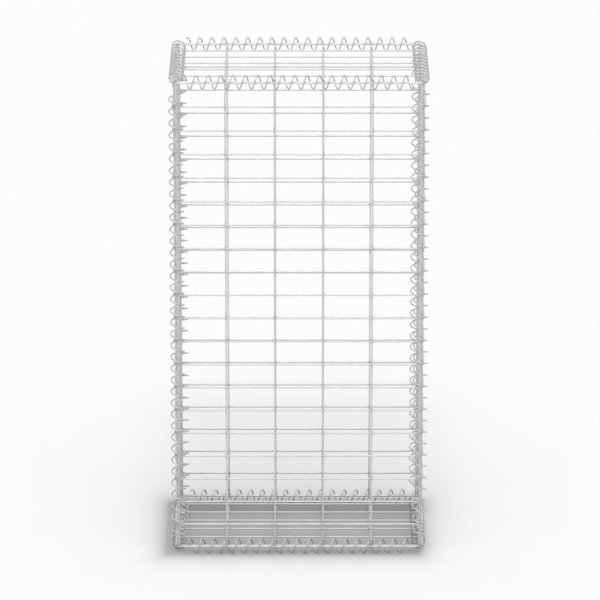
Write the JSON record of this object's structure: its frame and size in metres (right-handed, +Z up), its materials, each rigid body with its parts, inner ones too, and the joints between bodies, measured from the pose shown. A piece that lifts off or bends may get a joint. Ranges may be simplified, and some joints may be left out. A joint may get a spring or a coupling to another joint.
{
  "type": "welded mesh gabion basket",
  "caption": "Tall empty gabion basket of welded wire mesh with a lid, laced along every edge by wire spirals, to be filled with stones as a wall.",
  "frame": {"origin": "on the ground, under the middle of the basket", "axes": "+Z up, +X along the wide front to the right, +Y from the front to the back"},
  "size_m": [0.5324, 0.3308, 1.0309],
  "materials": {
    "mesh_wire": "galvanised steel wire, pale grey and satin",
    "spiral_wire": "galvanised steel wire, pale grey, a little brighter where it was wound"
  },
  "bodies": {
    "root": {"front_panel": "mesh_wire", "back_panel": "mesh_wire", "left_panel": "mesh_wire", "right_panel": "mesh_wire", "base_panel": "mesh_wire", "lid_panel": "mesh_wire", "front_left_spiral": "spiral_wire", "front_right_spiral": "spiral_wire", "back_left_spiral": "spiral_wire", "back_right_spiral": "spiral_wire", "lid_front_spiral": "spiral_wire", "lid_back_spiral": "spiral_wire", "lid_left_spiral": "spiral_wire", "lid_right_spiral": "spiral_wire", "base_front_spiral": "spiral_wire", "base_back_spiral": "spiral_wire", "base_left_spiral": "spiral_wire", "base_right_spiral": "spiral_wire"}
  },
  "joints": []
}
